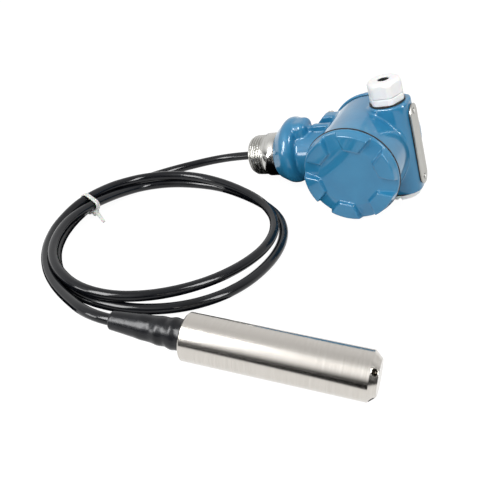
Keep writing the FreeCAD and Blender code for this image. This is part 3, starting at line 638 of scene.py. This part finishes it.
def on_seats(name, pattern, seats, material):
    """Copies of one fastener on seat points, set out by Geometry Nodes and turned to a plain mesh."""
    tree = bpy.data.node_groups.new(name + " layout", "GeometryNodeTree")
    sockets = {}
    for label, kind, side in (("Seats", "NodeSocketGeometry", "INPUT"),
                              ("Fastener", "NodeSocketObject", "INPUT"),
                              ("Finish", "NodeSocketMaterial", "INPUT"),
                              ("Result", "NodeSocketGeometry", "OUTPUT")):
        sockets[label] = tree.interface.new_socket(label, in_out=side, socket_type=kind).identifier
    given = add(tree, "NodeGroupInput")
    points = add(tree, "GeometryNodeMeshToPoints", {"Mesh": given.outputs["Seats"]})
    shape = add(tree, "GeometryNodeObjectInfo", {"Object": given.outputs["Fastener"]})
    copies = add(tree, "GeometryNodeInstanceOnPoints", {"Points": points.outputs[0],
                                                        "Instance": shape.outputs["Geometry"]})
    solid = add(tree, "GeometryNodeRealizeInstances", {"Geometry": copies.outputs[0]})
    coated = add(tree, "GeometryNodeSetMaterial", {"Geometry": solid.outputs[0],
                                                   "Material": given.outputs["Finish"]})
    add(tree, "NodeGroupOutput", {"Result": coated.outputs[0]})
    seat_mesh = bpy.data.meshes.new(name + " seats")
    seat_mesh.from_pydata([tuple(seat) for seat in seats], [], [])
    seat_object = bpy.data.objects.new(name + " seats", seat_mesh)
    model = bpy.data.objects.new(name + " pattern", pattern)
    bpy.context.scene.collection.objects.link(seat_object)
    bpy.context.scene.collection.objects.link(model)
    layout = seat_object.modifiers.new("layout", "NODES")
    layout.node_group = tree
    layout[sockets["Fastener"]] = model
    layout[sockets["Finish"]] = material
    mesh = bpy.data.meshes.new_from_object(seat_object.evaluated_get(bpy.context.evaluated_depsgraph_get()))
    bpy.data.objects.remove(seat_object)
    bpy.data.objects.remove(model)
    return mesh


# Turned stainless: bright, with faint lathe marks round it.
turned_steel = brushed_steel("turned stainless steel", housing_frame, (5, 5, 0.25),
                             ("#BDBCB8", "#D2D1CD"), 0.16, 0.006)
rivet_r = 1.7
rivet_edge = 0.12
rivet_dome = 0.9
rivet_lift = 0.02
pin_r = 0.8
pin_long = 1.2
plate_face = 40.5
rivet_out = 27.6
rivet_sides = 32
upright = housing_frame.to_3x3().to_4x4()
dome = [(0, -pin_long), (pin_r, -pin_long), (pin_r, rivet_lift), (rivet_r, rivet_lift), (rivet_r, rivet_edge)]
for rise in range(15, 90, 15):
    angle = math.radians(rise)
    dome.append((rivet_r * math.cos(angle), rivet_edge + (rivet_dome - rivet_edge) * math.sin(angle)))
dome += [(0, rivet_dome)]
turned_rivet = turned_mesh(dome, rivet_sides, upright)
rivet_seats = [housing_frame @ Vector((side * rivet_out * MM, 0, plate_face * MM)) for side in (-1, 1)]
rivets = on_seats("plate_rivets", turned_rivet, rivet_seats, turned_steel)
smooth_by_angle(rivets, 35)
finished("plate_rivet_heads", rivets, turned_steel, "housing", "stainless_steel", "nameplate_rivets")

# Rivet shade rims. A thin black disc under each rivet head, a little wider than the head: painted shade, which
# stands in for the shadow round the head and shows as a thin dark rim.
shade_rim_r = 2.2
shade_rim_low = -0.1
shade_rim_high = 0.04
shade_rim_disc = turned_mesh([(0, shade_rim_low), (shade_rim_r, shade_rim_low), (shade_rim_r, shade_rim_high),
                        (0, shade_rim_high)], rivet_sides, upright)
shade_rims = on_seats("rivet_sealant", shade_rim_disc, rivet_seats, nitrile)
finished("rivet_sealant_rims", shade_rims, nitrile, "housing", "black_rubber")

# Process connector. One stainless turning: the parallel pipe thread, a polished shoulder and the shank
# that is screwed into the neck. The thread has 11 turns to the inch, cut on a lathe.
neck_y = 2.5
neck_frame = housing_frame @ Matrix.Translation((0, neck_y * MM, 0))
thread_r = 16.62
thread_pitch = 2.309
thread_deep = 1.479
thread_step = 0.2
thread_end = -100.1
shoulder_end = -86.1
shoulder_start = -75.1
shank_top = -54.3
shoulder_r = 17.9
shoulder_bevel = 0.4
back_bevel = 0.3
shank_r = 14.0
run_out_start = 1.2
run_out_long = 1.5
chamfer_long = 3.0
chamfer_deep = 1.5
bore_r = 8.0
thread_sides = 96
outline = [(bore_r, thread_end), (thread_r - chamfer_deep, thread_end)]
steps = round((shoulder_end - thread_end) / thread_step)
outline += [(thread_r, thread_end + thread_step * k) for k in range(1, steps)]
outline += [(thread_r, shoulder_end), (shoulder_r - shoulder_bevel, shoulder_end),
            (shoulder_r, shoulder_end + shoulder_bevel), (shoulder_r, shoulder_start - back_bevel),
            (shoulder_r - back_bevel, shoulder_start), (shank_r, shoulder_start), (shank_r, shank_top),
            (bore_r, shank_top)]
rings = []
for radius, along in outline:
    ring = []
    for k in range(thread_sides):
        angle = 2 * math.pi * k / thread_sides
        reach = radius
        if radius == thread_r:
            run_out = min(1, max(0, (shoulder_end - run_out_start - along) / run_out_long))
            groove = 0.5 + 0.5 * math.cos(2 * math.pi * (along / thread_pitch - k / thread_sides))
            bevel = chamfer_deep * max(0, 1 - (along - thread_end) / chamfer_long)
            reach = min(thread_r - thread_deep * groove * run_out, thread_r - bevel)
        ring.append(neck_frame @ (Vector((reach * math.cos(angle), reach * math.sin(angle), along)) * MM))
    rings.append(ring)
connector = lofted(rings, True)
smooth_by_angle(connector, 50)
finished("threaded_connector", connector, turned_steel, "housing", "stainless_steel", "process_connector")
# Cut thread: the same steel, a little duller than the polished shoulder.
cut_thread = brushed_steel("cut stainless thread", housing_frame, (5, 5, 0.25),
                           ("#BDBCB8", "#CAC9C5"), 0.22, 0.0)
connector.materials.append(cut_thread)
shoulder_face = 0.1
neck_out = neck_frame.inverted()
for face in connector.polygons:
    face.material_index = int((neck_out @ face.center).z < (shoulder_end - shoulder_face) * MM)

# Screws and rings. Small stainless turnings: the earth screw and its washer on the back of their lug, the
# ring that clamps the cable in the connector, and the screws of the terminals and the board.
dress(turned_steel, "earth_screw", "earth_washer", "cable_clamp_ring", "terminal_screws",
      "terminal_block_screws", "board_screws")

# Cable gland and blanking plug. White nylon mouldings: a hexagon body with a rounded clamping nut on the
# upper conduit, and a slotted plug that shuts the lower one.
# Moulded white nylon: clean white with a soft gloss, and a little light inside thin edges.
gland_nylon, tree, shader = new_material("white nylon moulding", IOR=1.53, Roughness=0.38,
                                         Subsurface_Weight=0.15, Subsurface_Scale=0.0015)
place = add(tree, "ShaderNodeTexCoord")
mottled(tree, shader, place.outputs["Object"], 8, "#F4F4F2", "#FBFBFA")
bumped(tree, shader, place.outputs["Object"], 1.0, 0.04, 0.15)
nylon_voxel = 0.4
nylon_rounds = 3
for node, name, body in (("gland_body", "gland_hexagon", "housing"),
                         ("gland_nut", "gland_clamping_nut", "gland_nut"),
                         ("blanking_plug", "conduit_plug", "blanking_plug")):
    finished(name, softened(node, nylon_voxel, nylon_rounds), gland_nylon, body, "white_nylon", node)

# Probe. A turned stainless case, 28 mm across, with a bevelled nose and four inlet holes. A plug closes its
# tail, and a retaining ring holds the pressure cell behind the nose.
mounts = {mount["name"]: mount for mount in frame["record"]["mounts"]}
probe_way = Vector(mounts["probe_body"]["axis"])
probe_frame = Matrix((probe_way, Vector((0, 0, 1)).cross(probe_way), Vector((0, 0, 1)))).transposed().to_4x4()
# Turned probe steel: bright satin, with faint lathe rings round the case.
probe_steel = brushed_steel("turned stainless probe", probe_frame, (0.5, 14, 14),
                            ("#C6C1BA", "#D1CDC7"), 0.19, 0.004)
dress(probe_steel, "probe_case", "cell_retainer", "tail_plug")

# Shrink sleeve. A black polyolefin sleeve shrunk over the cable and the probe's stem. It swells towards
# the probe and lies in shallow wrinkles over the end of the stem.
probe_tail = Vector((-64.53, -106.96, 14.0))
sleeve_long = 47.0
sleeve_thin = 5.6
sleeve_thick = 9.2
sleeve_swell = 1.15
mouth_round = 0.5
mouth_long = 0.8
sleeve_step = 0.5
sleeve_sides = 72
stem_r = 6.4
stem_long = 16
# Wrinkles: place along the sleeve, width, depth, waves round it and their phase.
folds = [(-27, 2.6, 0.30, 3, 2.2), (-21, 2.2, -0.35, 2, 0.9), (-16, 2.0, 0.50, 2, 0.4),
         (-11.5, 1.6, -0.55, 3, 1.7), (-7.5, 1.5, 0.45, 2, 3.0), (-4, 1.6, -0.40, 4, 0.9)]
rings = []
stations = [-sleeve_long + sleeve_step * k for k in range(int(sleeve_long / sleeve_step) + 1)]
for along in stations:
    share = 1 + along / sleeve_long
    round_end = mouth_round * max(0, 1 - (along + sleeve_long) / mouth_long) ** 2
    ring = []
    for k in range(sleeve_sides):
        angle = 2 * math.pi * k / sleeve_sides
        reach = sleeve_thin + (sleeve_thick - sleeve_thin) * min(1, sleeve_swell * share) - round_end
        for centre, width, depth, count, phase in folds:
            wave = 0.6 + 0.4 * math.cos(count * angle + phase)
            reach += depth * math.exp(-((along - centre) / width) ** 2) * wave
        ring.append((reach, angle, along))
    rings.append(ring)
cable_r = cable_diameter / 2
for radius, along in ((stem_r, 0), (stem_r, -stem_long), (cable_r, -stem_long), (cable_r, -sleeve_long)):
    rings.append([(radius, 2 * math.pi * k / sleeve_sides, along) for k in range(sleeve_sides)])
sleeve_frame = probe_frame.copy()
sleeve_frame.translation = probe_tail * MM
sleeve = lofted([[sleeve_frame @ (Vector((along, reach * math.cos(angle), reach * math.sin(angle))) * MM)
                  for reach, angle, along in ring] for ring in rings], True)
smooth_by_angle(sleeve, 45)
# Shrunk polyolefin: black, with a soft sheen that breaks over the wrinkles.
shrink, tree, shader = new_material("shrink polyolefin", IOR=1.36, Roughness=0.27)
place = add(tree, "ShaderNodeTexCoord")
mottled(tree, shader, place.outputs["Object"], 8, "#0F1013", "#1A1B1F")
bumped(tree, shader, place.outputs["Object"], 3.5, 0.35, 0.3)
finished("shrink_sleeve_skin", sleeve, shrink, "housing", "shrink_polymer", "shrink_sleeve")

# Cable ends. The two short lengths of the cable that run on inside: one through the neck to the wires, and
# one through the sleeve into the probe's tail. They have the cable's own jacket.
dress(jacket, "cable_tail", "cable_probe_end")

# Circuit boards. Glass-filled epoxy laminate under green solder mask, which is dark and half glossy. A round
# one stands on posts in the rear chamber, and a narrow one is held in a slot of the probe's tail plug.
laminate, tree, shader = new_material("green circuit laminate", IOR=1.5, Roughness=0.35)
place = add(tree, "ShaderNodeTexCoord")
mottled(tree, shader, place.outputs["Object"], 4, "#0F4A2A", "#1B6A3E")
dress(laminate, "circuit_board", "probe_board")

# Terminal block. A moulded strip of green polyamide with a low gloss. It is screwed to the partition in the
# front chamber, and the wires are clamped in it.
terminal_green, tree, shader = new_material("green polyamide", IOR=1.5, Roughness=0.4)
place = add(tree, "ShaderNodeTexCoord")
mottled(tree, shader, place.outputs["Object"], 5, "#2F6A3C", "#3B7A48")
dress(terminal_green, "terminal_block")

# Signal wires. Two cores of tinned strands in extruded insulation, plain red with a soft gloss. They leave
# the cable's end and run up to the terminals.
wire_red, tree, shader = new_material("red wire insulation", IOR=1.5, Roughness=0.35)
place = add(tree, "ShaderNodeTexCoord")
mottled(tree, shader, place.outputs["Object"], 5, "#9E1F1A", "#B52A22")
dress(wire_red, "signal_wires")

# Pressure cell. A disc of ground alumina, off-white with a low gloss, with a seal in a groove round its rim.
# It is held against a shoulder behind the inlet holes, and bends under the liquid's pressure.
ceramic, tree, shader = new_material("ground alumina", IOR=1.7, Roughness=0.45)
place = add(tree, "ShaderNodeTexCoord")
mottled(tree, shader, place.outputs["Object"], 2, "#DAD8CF", "#E8E6DE")
dress(ceramic, "pressure_cell")
